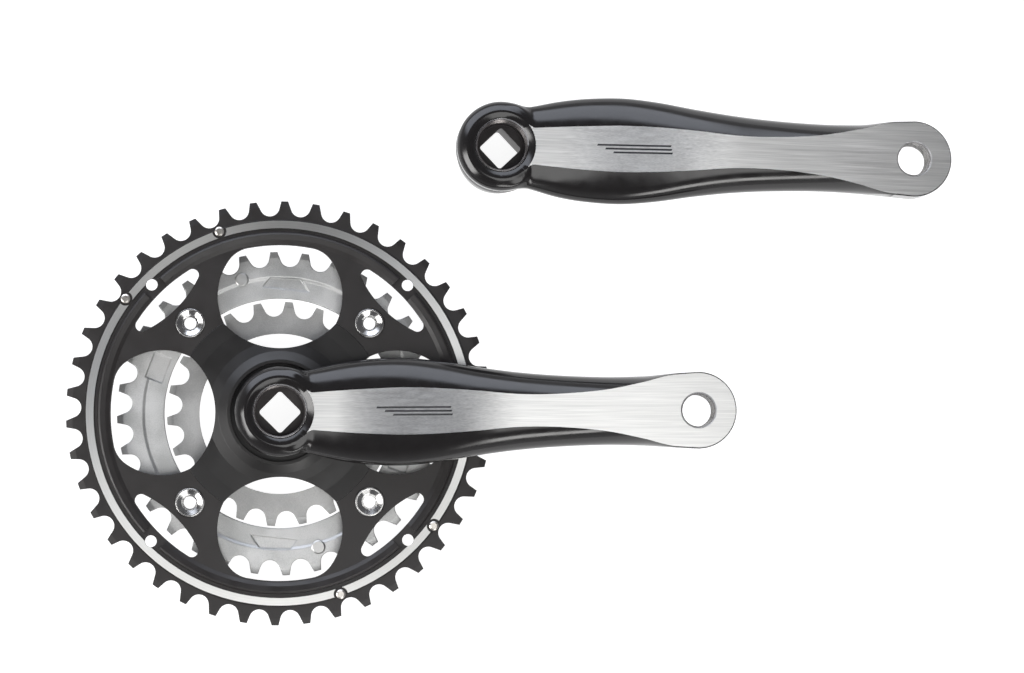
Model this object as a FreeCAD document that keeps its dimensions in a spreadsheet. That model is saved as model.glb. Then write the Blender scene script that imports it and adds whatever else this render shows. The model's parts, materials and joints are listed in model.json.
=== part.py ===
import FreeCAD, Part
import Sketcher
import math
import os
from types import SimpleNamespace

# A triple crankset laid out flat, millimetres.  +Z is the outboard direction of both cranks,
# +X runs along the drive-side crank arm.  The origin is on the drive-side crank axis, in the
# inboard face of the boss, where the bottom bracket's spindle enters its square socket.

DIMENSIONS = {
    # whole set
    "crank_length": 170.0,
    "link_pitch": 12.7,
    "left_hub_across": 91.0,
    "left_hub_up": 109.5,
    "left_turn": -1.95,
    # levels outboard of the boss's inboard face
    "inner_back": -0.6,
    "middle_back": 7.7,
    "outer_back": 15.9,
    # chainrings
    "outer_teeth": 42,
    "middle_teeth": 32,
    "inner_teeth": 22,
    "seat_radius": 4.05,
    "tip_rise": 2.15,
    "tip_gap": 5.55,
    "tip_hook": 0.35,
    "tooth_bevel_depth": 2.6,
    "tooth_bevel": 0.45,
    "tooth_plate": 2.1,
    "outer_plate": 2.6,
    "middle_plate": 2.2,
    "inner_plate": 2.0,
    "overrun": 1.0,
    "cut_over": 2.0,
    "end_chamfer": 0.4,
    "outer_bolt_circle": 104.0,
    "inner_bolt_circle": 64.0,
    # relief on the front of the outer ring
    "step_radius": 43.5,
    "rib_inside": 69.5,
    "rib_outside": 74.0,
    "rib_rise": 1.4,
    "rib_foot": 0.4,
    "rib_round": 0.3,
    "rib_crest": 0.8,
    "rib_slope": 1.6,
    "rib_sag": 0.5,
    "groove_depth": 0.3,
    "band_inside": 75.9,
    "band_outside": 79.0,
    "band_rise": 0.4,
    "tooth_band_radius": 79.6,
    "guard_circle": 148.4,
    "guard_hole": 4.8,
    "guard_pad": 9.0,
    "guard_pad_inside": 68.5,
    "guard_pad_outside": 74.7,
    "seat_gap": 0.2,
    # openings of the outer ring and the spider
    "window_side": 25.6,
    "window_side_at": 48.0,
    "window_inner": 31.0,
    "window_inner_at": 57.4,
    "window_outer": 69.0,
    "window_corner": 12.0,
    "crescent_outer": 69.5,
    "crescent_inner": 46.6,
    "crescent_inner_at": 106.8,
    "crescent_corner": 2.6,
    # middle ring
    "middle_inside": 47.5,
    "middle_dish_radius": 56.6,
    "middle_dish": 0.7,
    "dish_foot": 0.56,
    "dish_slope": 1.2,
    "middle_lug": 8.8,
    "ramp_inside": 50.2,
    "ramp_outside": 56.2,
    "ramp_half": 12.0,
    "ramp_lead": 2.2,
    "ramp_lead_half": 7.2,
    "ramp_near_half": 4.2,
    "ramp_far_half": 8.4,
    "ramp_draft": 0.6,
    "ramp_depth": 0.5,
    "step_inside": 49.8,
    "step_outside": 57.2,
    "step_half": 5.4,
    "step_depth": 0.35,
    # inner ring
    "inner_inside": 33.4,
    "inner_lug": 7.2,
    # spider
    "spider_bore": 15.55,
    "collar_inside": 20.2,
    "collar_outside": 21.6,
    "collar_rise": 3.6,
    "collar_foot": 37.0,
    "collar_slope": 25.2,
    "collar_waist": 29.5,
    "collar_waist_rise": 0.43,
    "collar_slope_rise": 1.51,
    "web_back": 9.9,
    "boss_step": 1.5,
    "boss_flat": 22.2,
    "gap_floor": 18.9,
    "tab_half": 9.2,
    "tab_end": 59.4,
    "tab_root": 39.5,
    "tab_corner": 5.0,
    "tab_taper": 1.0,
    "post_radius": 6.9,
    # fasteners
    "bolt_head": 6.0,
    "bolt_head_height": 1.6,
    "bolt_sink": 1.0,
    "bolt_shank": 3.95,
    "bolt_edge": 0.35,
    "sleeve_outer": 5.0,
    "sleeve_inner": 4.0,
    "sleeve_flange": 6.2,
    "sleeve_flange_height": 1.2,
    "sleeve_gap": 0.4,
    "slot_depth": 0.6,
    "slot_half": 0.8,
    "fit_gap": 0.05,
    "hex_key": 6.0,
    "hex_depth": 4.0,
    "bolt_through": 2.5,
    "dish_radius": 5.2,
    "dish_depth": 0.7,
    "dish_rim": 0.3,
    "inner_hex_key": 5.0,
    "inner_bolt_length": 8.0,
    "inner_head_height": 2.4,
    "inner_chamfer": 0.5,
    # shift pins
    "outer_pin_circle": 157.0,
    "outer_pin_head": 1.9,
    "outer_pin_pad": 2.9,
    "outer_pin_reach": 3.6,
    "middle_pin_circle": 115.0,
    "middle_pin_head": 2.9,
    "middle_pin_reach": 2.8,
    "pin_shank": 1.4,
    "pin_head_rise": 0.6,
    "pin_tip": 0.4,
    "pin_body": 0.8,
    "pin_dome": 0.3,
    "pin_crown": 0.6,
    # crank arms, from the inboard face of the boss
    "hub_depth": 34.0,
    "hub_radius": 18.4,
    "hub_shoulder": 28.5,
    "shoulder_bulge": 0.95,
    "rim_radius": 13.5,
    "rim_step": 0.5,
    "head_level": 20.5,
    "boss_radius": 15.5,
    "left_boss_radius": 16.6,
    "arm_bottom": 22.4,
    "arm_lift": 8.0,
    "pedal_lift": 5.7,
    "rise_start": 22.0,
    "rise_end": 98.0,
    "flank_foot": 3.6,
    "flank_spare": 0.05,
    "back_round": 3.4,
    "back_corner_in": 0.9,
    "back_corner_up": 1.0,
    "pedal_radius": 15.7,
    "pedal_bore": 7.0,
    "pedal_flare": 1.4,
    "extractor_wall": 10.6,
    "extractor_mouth": 11.6,
    "mouth_chamfer": 1.0,
    "extractor_floor": 9.9,
    "extractor_length": 9.5,
    "taper_depth": 21.5,
    "taper_small": 12.5,
    "taper_angle": 2.0,
    "taper_corner": 1.3,
}

# Stations along a crank arm: distance from the crank axis, half width of the arm, and half
# width of its machined outer face.
ARM_STATIONS = [
    (8.0, 16.2, 7.2),
    (24.0, 19.9, 8.4),
    (36.0, 21.5, 9.1),
    (50.0, 22.0, 9.6),
    (64.0, 20.7, 9.2),
    (80.0, 18.1, 8.1),
    (96.0, 16.0, 6.7),
    (112.0, 14.7, 6.7),
    (132.0, 13.95, 8.4),
    (148.0, 14.25, 11.6),
    (160.0, 15.0, 14.6),
    (170.0, 15.6, 15.5),
]

# Where the arc of an arm's flank passes, as shares of its width and height.
FLANK_OUT = 0.66
FLANK_UP = 0.62

DIAGONALS = (45, 135, 225, 315)
OUTER_PIN_ANGLES = (108.5, 143.5, 288.5, 323.5)
MIDDLE_PIN_ANGLES = (106, 286)
STEP_ANGLE = 159.5
OUTER_GAP_ANGLE = 84.3
MIDDLE_GAP_ANGLE = 86.4
INNER_GAP_ANGLE = 77.0

document = FreeCAD.newDocument("crankset")
sheet = document.addObject("Spreadsheet::Sheet", "Dimensions")
for row, (alias, number) in enumerate(DIMENSIONS.items(), start=1):
    sheet.set(f"A{row}", alias)
    sheet.set(f"B{row}", str(number))
    sheet.setAlias(f"B{row}", alias)
document.recompute()


class Size:
    """A size with its number and the spreadsheet formula that gives it."""

    def __init__(self, number, formula):
        self.number = number
        self.formula = formula

    def combined(self, other, sign, number):
        formula = other.formula if isinstance(other, Size) else str(other)
        return Size(number, f"({self.formula} {sign} {formula})")

    def __add__(self, other):
        return self.combined(other, "+", self.number + plain(other))

    def __sub__(self, other):
        return self.combined(other, "-", self.number - plain(other))

    def __mul__(self, other):
        return self.combined(other, "*", self.number * plain(other))

    def __truediv__(self, other):
        return self.combined(other, "/", self.number / plain(other))

    def __neg__(self):
        return self * -1


def plain(size):
    return size.number if isinstance(size, Size) else float(size)


size = SimpleNamespace(
    **{alias: Size(float(sheet.get(alias)), f"Dimensions.{alias}") for alias in DIMENSIONS}
)
ORIGIN = Size(0.0, "0")


def along(radius, degrees):
    """X of a point at a radius and an angle."""
    cosine = math.cos(math.radians(degrees))
    return Size(radius.number * cosine, f"({radius.formula} * cos({degrees} deg))")


def across(radius, degrees):
    """Y of a point at a radius and an angle."""
    sine = math.sin(math.radians(degrees))
    return Size(radius.number * sine, f"({radius.formula} * sin({degrees} deg))")


# ---- sketch and feature helpers ----


def bind(target, path, source):
    target.setExpression(path, source.formula)


def new_body(label):
    body = document.addObject("PartDesign::Body", label)
    body.Label = label
    return body


def origin_feature(body, role):
    return next(item for item in body.Origin.OriginFeatures if item.Role == role)


def new_sketch(body, name, role="XY_Plane", level=ORIGIN, turn=0.0):
    sketch = body.newObject("Sketcher::SketchObject", name)
    sketch.AttachmentSupport = [(origin_feature(body, role), "")]
    sketch.MapMode = "FlatFace"
    turned = FreeCAD.Rotation(FreeCAD.Vector(0, 0, 1), turn)
    sketch.AttachmentOffset = FreeCAD.Placement(FreeCAD.Vector(0, 0, level.number), turned)
    if level is not ORIGIN:
        bind(sketch, "AttachmentOffset.Base.z", level)
    return sketch


def dimension(sketch, kind, *items):
    """Add a dimensional constraint whose value is the last item, a Size."""
    *where, value = items
    index = sketch.addConstraint(Sketcher.Constraint(kind, *where, value.number))
    bind(sketch, f"Constraints[{index}]", value)


def fix_point(sketch, geometry, vertex, x, y):
    """Hold a sketch point at x, y from the sketch's origin."""
    for kind, axis, value in (("DistanceX", -2, x), ("DistanceY", -1, y)):
        if value is ORIGIN:
            sketch.addConstraint(Sketcher.Constraint("PointOnObject", geometry, vertex, axis))
        else:
            dimension(sketch, kind, -1, 1, geometry, vertex, value)


def draw_polygon(sketch, points):
    corners = [FreeCAD.Vector(x.number, y.number, 0) for x, y in points]
    first = sketch.GeometryCount
    count = len(corners)
    for i in range(count):
        sketch.addGeometry(Part.LineSegment(corners[i], corners[(i + 1) % count]), False)
    for i in range(count):
        follower = first + (i + 1) % count
        sketch.addConstraint(Sketcher.Constraint("Coincident", first + i, 2, follower, 1))
    for i, (x, y) in enumerate(points):
        fix_point(sketch, first + i, 1, x, y)


def draw_circle(sketch, x, y, radius):
    centre = FreeCAD.Vector(x.number, y.number, 0)
    up = FreeCAD.Vector(0, 0, 1)
    index = sketch.addGeometry(Part.Circle(centre, up, radius.number), False)
    fix_point(sketch, index, 3, x, y)
    dimension(sketch, "Radius", index, radius)


def draw_rectangle(sketch, x_low, x_high, y_low, y_high):
    draw_polygon(sketch, [(x_low, y_low), (x_high, y_low), (x_high, y_high), (x_low, y_high)])


def draw_arc(sketch, centre_x, radius, start, end):
    """An arc centred on the sketch's X axis, through two given end points, anticlockwise."""
    centre = FreeCAD.Vector(centre_x.number, 0, 0)
    angles = [math.atan2(p[1], p[0] - centre_x.number) for p in (start, end)]
    circle = Part.Circle(centre, FreeCAD.Vector(0, 0, 1), radius.number)
    index = sketch.addGeometry(Part.ArcOfCircle(circle, angles[0], angles[1]), False)
    fix_point(sketch, index, 3, centre_x, ORIGIN)
    dimension(sketch, "Radius", index, radius)
    return index


def crossing(centre_a, radius_a, centre_b, radius_b):
    """Where two circles centred on the X axis cross, at positive Y."""
    a, ra, b, rb = (item.number for item in (centre_a, radius_a, centre_b, radius_b))
    x = (ra**2 - rb**2 + b**2 - a**2) / (2 * (b - a))
    return (x, math.sqrt(ra**2 - (x - a) ** 2))


def flip(point):
    return (point[0], -point[1])


def revolve(body, name, points):
    """A solid of revolution about Z from a closed profile of (radius, level) points."""
    sketch = new_sketch(body, name + "_profile", "XZ_Plane")
    draw_polygon(sketch, points)
    revolution = body.newObject("PartDesign::Revolution", name)
    revolution.Profile = sketch
    revolution.ReferenceAxis = (sketch, ["V_Axis"])
    revolution.Angle = 360.0
    document.recompute()
    return revolution


def pad(body, name, sketch, length):
    feature = body.newObject("PartDesign::Pad", name)
    feature.Profile = sketch
    feature.Length = length.number
    bind(feature, "Length", length)
    document.recompute()
    return feature


def pocket(body, name, sketch, length=None):
    """Cut downwards by length, or through everything both ways when none is given."""
    before = body.Tip.Shape.Volume
    feature = body.newObject("PartDesign::Pocket", name)
    feature.Profile = sketch
    if length is None:
        feature.Type = "ThroughAll"
        feature.Midplane = True
    else:
        feature.Length = length.number
        bind(feature, "Length", length)
    document.recompute()
    if not feature.Shape.Volume < before - 1e-3:
        raise RuntimeError(f"{body.Label}: {name} removes nothing")
    return feature


def around(body, feature, count):
    """Repeat a feature evenly about the body's Z axis."""
    pattern = body.newObject("PartDesign::PolarPattern", feature.Name + "_pattern")
    pattern.Originals = [feature]
    pattern.Axis = (origin_feature(body, "Z_Axis"), [""])
    pattern.Angle = 360.0
    pattern.Occurrences = int(plain(count))
    if isinstance(count, Size):
        bind(pattern, "Occurrences", count)
    body.Tip = pattern
    document.recompute()
    return pattern


def fillet_uprights(body, name, radius, at_radius):
    """Round the upright edges that stand at a distance from the Z axis."""
    base = body.Tip
    chosen = []
    for number, edge in enumerate(base.Shape.Edges, start=1):
        start, end = edge.Vertexes[0].Point, edge.Vertexes[-1].Point
        upright = math.hypot(start.x - end.x, start.y - end.y) < 1e-4
        if upright and abs(math.hypot(start.x, start.y) - at_radius) < 1e-3:
            chosen.append(f"Edge{number}")
    feature = body.newObject("PartDesign::Fillet", name)
    feature.Base = (base, chosen)
    feature.Radius = radius.number
    bind(feature, "Radius", radius)
    document.recompute()
    return feature


def cut_holes(body, name, bolt_circle, radius, level=ORIGIN, depth=None, turn=45.0, count=4):
    """Round holes on a bolt circle, through everything when no depth is given."""
    sketch = new_sketch(body, name + "_sketch", level=level, turn=turn)
    draw_circle(sketch, bolt_circle / 2, ORIGIN, radius)
    return around(body, pocket(body, name, sketch, depth), count)


def cut_teeth(body, teeth, first_gap):
    """Roller seats with straight flanks, one between each two teeth."""
    pitch_radius = size.link_pitch / 2 / math.sin(math.pi / plain(teeth))
    tip = pitch_radius + size.tip_rise + size.overrun
    half_up = size.tip_gap + size.tip_hook
    half_down = size.tip_gap - size.tip_hook
    sketch = new_sketch(body, "gap_sketch", turn=first_gap)
    seat, rise = size.seat_radius.number, size.tip_rise.number + size.overrun.number
    ends = []
    for half in (half_up.number, half_down.number):
        angle = math.atan2(half, rise) + math.acos(seat / math.hypot(half, rise))
        ends.append((pitch_radius.number + seat * math.cos(angle), seat * math.sin(angle)))
    upper, lower = ends[0], flip(ends[1])
    arc = draw_arc(sketch, pitch_radius, size.seat_radius, upper, lower)
    corners = [
        (FreeCAD.Vector(*upper, 0), FreeCAD.Vector(tip.number, half_up.number, 0)),
        (FreeCAD.Vector(*lower, 0), FreeCAD.Vector(tip.number, -half_down.number, 0)),
    ]
    flanks = [sketch.addGeometry(Part.LineSegment(*pair), False) for pair in corners]
    for vertex, flank in zip((1, 2), flanks):
        sketch.addConstraint(Sketcher.Constraint("Tangent", arc, vertex, flank, 1))
    fix_point(sketch, flanks[0], 2, tip, half_up)
    fix_point(sketch, flanks[1], 2, tip, -half_down)
    lid = sketch.addGeometry(Part.LineSegment(corners[0][1], corners[1][1]), False)
    sketch.addConstraint(Sketcher.Constraint("Coincident", lid, 1, flanks[0], 2))
    sketch.addConstraint(Sketcher.Constraint("Coincident", lid, 2, flanks[1], 2))
    return around(body, pocket(body, "tooth_gap", sketch), teeth)


def tip_radius(teeth):
    return size.link_pitch / 2 / math.sin(math.pi / plain(teeth)) + size.tip_rise


def toothed_rim(teeth, back, plate):
    """Profile of a rim that thins towards the tooth tips, from back to front."""
    tip = tip_radius(teeth)
    shoulder = tip - size.tooth_bevel_depth
    return [
        (shoulder, back),
        (tip, back + size.tooth_bevel),
        (tip, back + plate - size.tooth_bevel),
        (shoulder, back + plate),
    ]


def cut_windows(body):
    """Four large openings, bounded by three circles, with the outer corners rounded."""
    side = (size.window_side_at, size.window_side)
    inner = (size.window_inner_at, size.window_inner)
    outer = (ORIGIN, size.window_outer)
    waist = crossing(*side, *inner)
    corner = crossing(*outer, *side)
    sketch = new_sketch(body, "window_sketch")
    arcs = [
        draw_arc(sketch, *outer, flip(corner), corner),
        draw_arc(sketch, *side, corner, waist),
        draw_arc(sketch, *inner, waist, flip(waist)),
        draw_arc(sketch, *side, flip(waist), flip(corner)),
    ]
    for first, second in zip(arcs, arcs[1:] + arcs[:1]):
        sketch.addConstraint(Sketcher.Constraint("Coincident", first, 2, second, 1))
    around(body, pocket(body, "window", sketch), 4)
    return math.hypot(*corner)


def cut_crescents(body):
    """Four lens-shaped openings outside the bolts, with rounded ends."""
    inner = (size.crescent_inner_at, size.crescent_inner)
    outer = (ORIGIN, size.crescent_outer)
    tip = crossing(*outer, *inner)
    sketch = new_sketch(body, "crescent_sketch", turn=45.0)
    front = draw_arc(sketch, *outer, flip(tip), tip)
    back = draw_arc(sketch, *inner, tip, flip(tip))
    sketch.addConstraint(Sketcher.Constraint("Coincident", front, 2, back, 1))
    sketch.addConstraint(Sketcher.Constraint("Coincident", front, 1, back, 2))
    around(body, pocket(body, "crescent", sketch), 4)
    fillet_uprights(body, "crescent_corners", size.crescent_corner, math.hypot(*tip))


# ---- chainrings ----


def make_outer_chainring():
    body = new_body("outer_chainring")
    back, front = size.outer_back, size.outer_back + size.outer_plate
    rib_top = front + size.rib_rise
    band_top = front + size.band_rise
    rim = toothed_rim(size.outer_teeth, back, size.tooth_plate)
    profile = [(size.step_radius, back)] + rim + [
        (size.tooth_band_radius, back + size.tooth_plate),
        (size.band_outside, band_top),
        (size.band_inside, band_top),
        (size.band_inside, front - size.groove_depth),
        (size.rib_outside + size.rib_foot, front - size.groove_depth),
        (size.rib_outside, rib_top - size.rib_round),
        (size.rib_outside - size.rib_crest, rib_top),
        (size.rib_inside + size.rib_slope, rib_top - size.rib_sag),
        (size.rib_inside, front),
        (size.step_radius, front),
    ]
    revolve(body, "ring", profile)
    corner = cut_windows(body)
    fillet_uprights(body, "window_corners", size.window_corner, corner)
    cut_crescents(body)
    cut_holes(body, "sleeve_hole", size.outer_bolt_circle, size.sleeve_outer + size.fit_gap)
    seat = size.bolt_head + size.seat_gap
    cut_holes(body, "bolt_seat", size.outer_bolt_circle, seat, front, size.bolt_sink)
    pad_sketch = new_sketch(body, "guard_pad_sketch", level=front + size.cut_over, turn=45.0)
    half = size.guard_pad / 2
    draw_rectangle(pad_sketch, size.guard_pad_inside, size.guard_pad_outside, -half, half)
    around(body, pocket(body, "guard_pad", pad_sketch, size.cut_over), 4)
    cut_holes(body, "guard_hole", size.guard_circle, size.guard_hole / 2)
    for number, turn in enumerate(OUTER_PIN_ANGLES[:2], start=1):
        pins = size.outer_pin_circle
        top = front + size.band_rise
        name = f"pin_pad_{number}"
        cut_holes(body, name, pins, size.outer_pin_pad, top, size.band_rise, turn, 2)
        shank = size.pin_shank + size.fit_gap
        cut_holes(body, f"pin_hole_{number}", pins, shank, turn=turn, count=2)
    cut_teeth(body, size.outer_teeth, OUTER_GAP_ANGLE)
    return body


def add_lugs(body, bolt_circle, lug, back, plate):
    """Round lugs inside a ring, one at each bolt."""
    sketch = new_sketch(body, "lug_sketch", level=back, turn=45.0)
    draw_circle(sketch, bolt_circle / 2, ORIGIN, lug)
    around(body, pad(body, "lug", sketch, plate), 4)


def make_middle_chainring():
    body = new_body("middle_chainring")
    back, front = size.middle_back, size.middle_back + size.middle_plate
    rim = toothed_rim(size.middle_teeth, back, size.tooth_plate)
    profile = [(size.middle_inside, back)] + rim + [
        (size.middle_dish_radius, front),
        (size.middle_dish_radius - size.dish_slope, front - size.dish_foot),
        (size.middle_inside, front - size.middle_dish),
    ]
    revolve(body, "ring", profile)
    add_lugs(body, size.outer_bolt_circle, size.middle_lug, back, size.middle_plate)
    cut_holes(body, "sleeve_hole", size.outer_bolt_circle, size.sleeve_outer + size.fit_gap)
    ramp_sketch = new_sketch(body, "ramp_sketch", level=front, turn=90.0)
    draw_polygon(
        ramp_sketch,
        [
            (size.ramp_inside, -size.ramp_half),
            (size.ramp_inside + size.ramp_lead, size.ramp_lead_half),
            (size.ramp_outside, size.ramp_near_half),
            (size.ramp_outside - size.ramp_draft, -size.ramp_far_half),
        ],
    )
    depth = size.middle_dish + size.ramp_depth
    around(body, pocket(body, "ramp", ramp_sketch, depth), 2)
    step_sketch = new_sketch(body, "step_sketch", level=front, turn=STEP_ANGLE)
    draw_rectangle(
        step_sketch, size.step_inside, size.step_outside, -size.step_half, size.step_half
    )
    around(body, pocket(body, "step", step_sketch, size.middle_dish + size.step_depth), 2)
    shank = size.pin_shank + size.fit_gap
    turn = MIDDLE_PIN_ANGLES[0]
    cut_holes(body, "pin_hole", size.middle_pin_circle, shank, turn=turn, count=2)
    cut_teeth(body, size.middle_teeth, MIDDLE_GAP_ANGLE)
    return body


def make_inner_chainring():
    body = new_body("inner_chainring")
    back, front = size.inner_back, size.inner_back + size.inner_plate
    rim = toothed_rim(size.inner_teeth, back, size.inner_plate)
    revolve(body, "ring", [(size.inner_inside, back)] + rim + [(size.inner_inside, front)])
    add_lugs(body, size.inner_bolt_circle, size.inner_lug, back, size.inner_plate)
    hole = size.bolt_shank + size.fit_gap * 4
    cut_holes(body, "bolt_hole", size.inner_bolt_circle, hole)
    cut_teeth(body, size.inner_teeth, INNER_GAP_ANGLE)
    return body


# ---- spider ----


def make_spider():
    """The four-armed carrier, pressed on the drive-side boss."""
    body = new_body("spider")
    front = size.outer_back + size.outer_plate
    collar = front + size.collar_rise
    edge = size.step_radius - size.fit_gap
    profile = [
        (size.spider_bore, size.web_back - size.boss_step),
        (size.boss_flat, size.web_back - size.boss_step),
        (size.collar_slope, size.web_back),
        (edge, size.web_back),
        (edge, front),
        (size.collar_foot, front),
        (size.collar_waist, front + size.collar_waist_rise),
        (size.collar_slope, front + size.collar_slope_rise),
        (size.collar_outside, collar),
        (size.collar_inside, collar),
        (size.collar_inside, size.gap_floor),
        (size.spider_bore, size.gap_floor),
    ]
    revolve(body, "hub", profile)
    tab_sketch = new_sketch(body, "tab_sketch", level=size.web_back, turn=45.0)
    neck, end = size.tab_end - size.tab_corner, size.tab_end
    half, tip_half = size.tab_half - size.tab_taper, size.tab_half - size.tab_corner
    draw_polygon(
        tab_sketch,
        [
            (size.tab_root, -size.tab_half),
            (neck, -half),
            (end, -tip_half),
            (end, tip_half),
            (neck, half),
            (size.tab_root, size.tab_half),
        ],
    )
    around(body, pad(body, "tab", tab_sketch, size.outer_back - size.web_back), 4)
    cut_windows(body)
    inner_front = size.inner_back + size.inner_plate
    post_sketch = new_sketch(body, "post_sketch", level=inner_front, turn=45.0)
    draw_circle(post_sketch, size.inner_bolt_circle / 2, ORIGIN, size.post_radius)
    around(body, pad(body, "post", post_sketch, size.web_back - inner_front + size.overrun), 4)
    cut_holes(body, "sleeve_hole", size.outer_bolt_circle, size.sleeve_outer + size.fit_gap)
    thread_top = inner_front + size.inner_bolt_length
    wall = size.bolt_shank + size.fit_gap
    depth = size.inner_bolt_length + size.overrun
    cut_holes(body, "thread", size.inner_bolt_circle, wall, thread_top, depth)
    return body


# ---- fasteners ----


def place(body, bolt_circle, degrees):
    radius = bolt_circle / 2
    bind(body, "Placement.Base.x", along(radius, degrees))
    bind(body, "Placement.Base.y", across(radius, degrees))


def draw_hexagon(sketch, key):
    half, corner = key / 2, key / math.sqrt(3)
    points = [(half, corner / 2), (ORIGIN, corner), (-half, corner / 2)]
    points += [(-half, -corner / 2), (ORIGIN, -corner), (half, -corner / 2)]
    draw_polygon(sketch, points)


def make_chainring_bolt(number, degrees):
    """Hollow bolt that clamps the outer and middle rings to a spider tab."""
    body = new_body(f"chainring_bolt_{number}")
    seat = size.outer_back + size.outer_plate - size.bolt_sink
    top = seat + size.bolt_head_height
    end = size.middle_back + size.middle_plate
    profile = [
        (size.bolt_through, end),
        (size.bolt_shank - size.end_chamfer, end),
        (size.bolt_shank, end + size.end_chamfer),
        (size.bolt_shank, seat),
        (size.bolt_head, seat),
        (size.bolt_head, top - size.bolt_edge),
        (size.bolt_head - size.bolt_edge, top),
        (size.dish_radius, top),
        (size.hex_key / 2 + size.dish_rim, top - size.dish_depth),
        (size.bolt_through, top - size.dish_depth),
    ]
    revolve(body, "bolt", profile)
    socket = new_sketch(body, "socket_sketch", level=top)
    draw_hexagon(socket, size.hex_key)
    pocket(body, "socket", socket, size.hex_depth)
    place(body, size.outer_bolt_circle, degrees)
    return body


def make_chainring_nut(number, degrees):
    """Flanged sleeve nut behind the middle ring."""
    body = new_body(f"chainring_nut_{number}")
    back = size.middle_back
    top = size.outer_back + size.outer_plate - size.bolt_sink - size.sleeve_gap
    foot = back - size.sleeve_flange_height
    profile = [
        (size.sleeve_inner, foot),
        (size.sleeve_flange - size.end_chamfer, foot),
        (size.sleeve_flange, foot + size.end_chamfer),
        (size.sleeve_flange, back),
        (size.sleeve_outer, back),
        (size.sleeve_outer, top),
        (size.sleeve_inner, top),
    ]
    revolve(body, "nut", profile)
    slot = new_sketch(body, "slot_sketch", level=foot + size.slot_depth)
    reach = size.sleeve_flange + size.overrun
    draw_rectangle(slot, -reach, reach, -size.slot_half, size.slot_half)
    pocket(body, "slot", slot, size.overrun)
    place(body, size.outer_bolt_circle, degrees)
    return body


def make_inner_ring_bolt(number, degrees):
    """Bolt that holds the inner ring to a post of the spider."""
    body = new_body(f"inner_ring_bolt_{number}")
    seat = size.inner_back
    end = seat + size.inner_bolt_length
    foot = seat - size.inner_head_height
    profile = [
        (ORIGIN, foot),
        (size.bolt_head - size.inner_chamfer, foot),
        (size.bolt_head, foot + size.inner_chamfer),
        (size.bolt_head, seat),
        (size.bolt_shank, seat),
        (size.bolt_shank, end - size.inner_chamfer),
        (size.bolt_shank - size.inner_chamfer, end),
        (ORIGIN, end),
    ]
    revolve(body, "bolt", profile)
    socket = new_sketch(body, "socket_sketch", level=seat + size.overrun)
    draw_hexagon(socket, size.inner_hex_key)
    pocket(body, "socket", socket, size.inner_head_height + size.cut_over)
    place(body, size.inner_bolt_circle, degrees)
    return body


def make_pin(label, circle, degrees, head, back, front, reach):
    """Shift pin: a rivet head in front of a ring and a catching pin behind it."""
    body = new_body(label)
    top = front + size.pin_head_rise
    foot = back - reach
    catch = size.pin_shank + size.pin_body
    profile = [
        (ORIGIN, foot),
        (catch - size.pin_tip, foot),
        (catch, foot + size.pin_tip),
        (catch, back),
        (size.pin_shank, back),
        (size.pin_shank, front),
        (head, front),
        (head, top - size.pin_dome),
        (head - size.pin_crown, top),
        (ORIGIN, top),
    ]
    revolve(body, "pin", profile)
    place(body, circle, degrees)
    return body


def make_outer_shift_pin(number, degrees):
    back, front = size.outer_back, size.outer_back + size.outer_plate
    circle, head, reach = size.outer_pin_circle, size.outer_pin_head, size.outer_pin_reach
    label = f"outer_shift_pin_{number}"
    return make_pin(label, circle, degrees, head, back, front, reach)


def make_middle_shift_pin(number, degrees):
    back, front = size.middle_back, size.middle_back + size.middle_plate
    circle, head, reach = size.middle_pin_circle, size.middle_pin_head, size.middle_pin_reach
    label = f"middle_shift_pin_{number}"
    return make_pin(label, circle, degrees, head, back, front, reach)


# ---- crank arms ----


def ease(start, end, position):
    """0 before start, 1 after end, with a smooth rise between."""
    share = min(max((position - start) / (end - start), 0.0), 1.0)
    return share * share * (3 - 2 * share)


def arm_section(position, outline, face):
    """Section across an arm: flat outer face, full flanks, rounded back edges."""
    rise = ease(size.rise_start.number, size.rise_end.number, position)
    top = size.hub_depth.number - size.rim_step.number + size.arm_lift.number * rise
    bottom = size.arm_bottom.number + size.pedal_lift.number * rise
    edge = bottom + size.flank_foot.number
    back_half = outline - size.back_round.number
    flank_y = face + FLANK_OUT * (outline - face) + size.flank_spare.number
    flank_z = edge + FLANK_UP * (top - edge)
    corner_y = outline - size.back_corner_in.number
    corner_z = bottom + size.back_corner_up.number

    def point(y, z):
        return FreeCAD.Vector(position, y, z)

    def flank(side):
        shoulder = point(side * flank_y, flank_z)
        return Part.Arc(point(side * face, top), shoulder, point(side * outline, edge))

    def corner(side):
        middle = point(side * corner_y, corner_z)
        return Part.Arc(point(side * outline, edge), middle, point(side * back_half, bottom))

    pieces = [
        Part.LineSegment(point(-face, top), point(face, top)),
        flank(1),
        corner(1),
        Part.LineSegment(point(back_half, bottom), point(-back_half, bottom)),
        corner(-1),
        flank(-1),
    ]
    return Part.Wire(Part.__sortEdges__([piece.toShape() for piece in pieces]))


def turned_solid(points):
    """Solid of revolution about Z; a point of three numbers is passed through by an arc."""
    edges = []
    here = points[0]
    for step in points[1:] + points[:1]:
        if len(step) == 4:
            middle = FreeCAD.Vector(step[0], 0, step[1])
            target = FreeCAD.Vector(step[2], 0, step[3])
            edges.append(Part.Arc(FreeCAD.Vector(here[0], 0, here[1]), middle, target).toShape())
            here = step[2:]
        else:
            start, target = FreeCAD.Vector(here[0], 0, here[1]), FreeCAD.Vector(step[0], 0, step[1])
            edges.append(Part.LineSegment(start, target).toShape())
            here = step
    face = Part.Face(Part.Wire(edges))
    return face.revolve(FreeCAD.Vector(0, 0, 0), FreeCAD.Vector(0, 0, 1), 360)


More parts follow.
